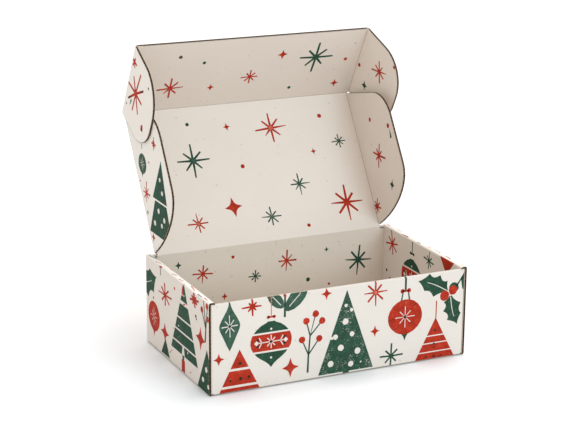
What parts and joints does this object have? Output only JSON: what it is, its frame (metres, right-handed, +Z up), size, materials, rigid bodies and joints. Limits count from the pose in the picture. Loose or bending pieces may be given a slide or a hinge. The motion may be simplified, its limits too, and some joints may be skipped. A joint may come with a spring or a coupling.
{
  "type": "corrugated mailer box",
  "caption": "Folded corrugated mailer box with rolled side walls and an open hinged lid with tuck flap, ears and dust flaps.",
  "frame": {"origin": "middle of the tray's underside, on the surface it stands on", "axes": "+Z up, -Y towards the front wall, +X towards the right side wall; the lid is hinged along the back wall at +Y"},
  "size_m": [0.2343, 0.2057, 0.2478],
  "materials": {
    "tray_board": "matt white liner with printed red and green shapes, brown fluted cut edges",
    "lid_board": "matt white liner with printed red and green shapes",
    "flap_board": "matt white liner with printed red and green shapes, brown fluted cut edges"
  },
  "bodies": {
    "tray": {"tray": "tray_board"},
    "lid": {"lid": "lid_board"},
    "tuck_flap": {"tuck_flap": "lid_board"},
    "tuck_ear_left": {"tuck_ear_left": "flap_board"},
    "tuck_ear_right": {"tuck_ear_right": "flap_board"},
    "dust_flap_left": {"dust_flap_left": "flap_board"},
    "dust_flap_right": {"dust_flap_right": "flap_board"}
  },
  "joints": [
    {"name": "lid_hinge", "type": "hinge", "parent": "tray", "child": "lid", "pos_m": [0, 0.0663, 0.0753], "axis": [1, 0, 0], "range_deg": [-56, 87]},
    {"name": "tuck_hinge", "type": "hinge", "parent": "lid", "child": "tuck_flap", "pos_m": [0, 0.13626, 0.18303], "axis": [1, 0, 0], "range_deg": [-61, 28]},
    {"name": "ear_left_hinge", "type": "hinge", "parent": "tuck_flap", "child": "tuck_ear_left", "pos_m": [-0.10755, 0.13626, 0.18303], "axis": [0, -0.4848, 0.8746], "range_deg": [-89, 0]},
    {"name": "ear_right_hinge", "type": "hinge", "parent": "tuck_flap", "child": "tuck_ear_right", "pos_m": [0.10755, 0.13626, 0.18303], "axis": [0, 0.4848, -0.8746], "range_deg": [-79, 10]},
    {"name": "dust_left_hinge", "type": "hinge", "parent": "lid", "child": "dust_flap_left", "pos_m": [-0.1055, 0.0663, 0.0753], "axis": [0, -0.5446, -0.8387], "range_deg": [-80, 0]},
    {"name": "dust_right_hinge", "type": "hinge", "parent": "lid", "child": "dust_flap_right", "pos_m": [0.1055, 0.0663, 0.0753], "axis": [0, 0.5446, 0.8387], "range_deg": [-80, 0]}
  ]
}
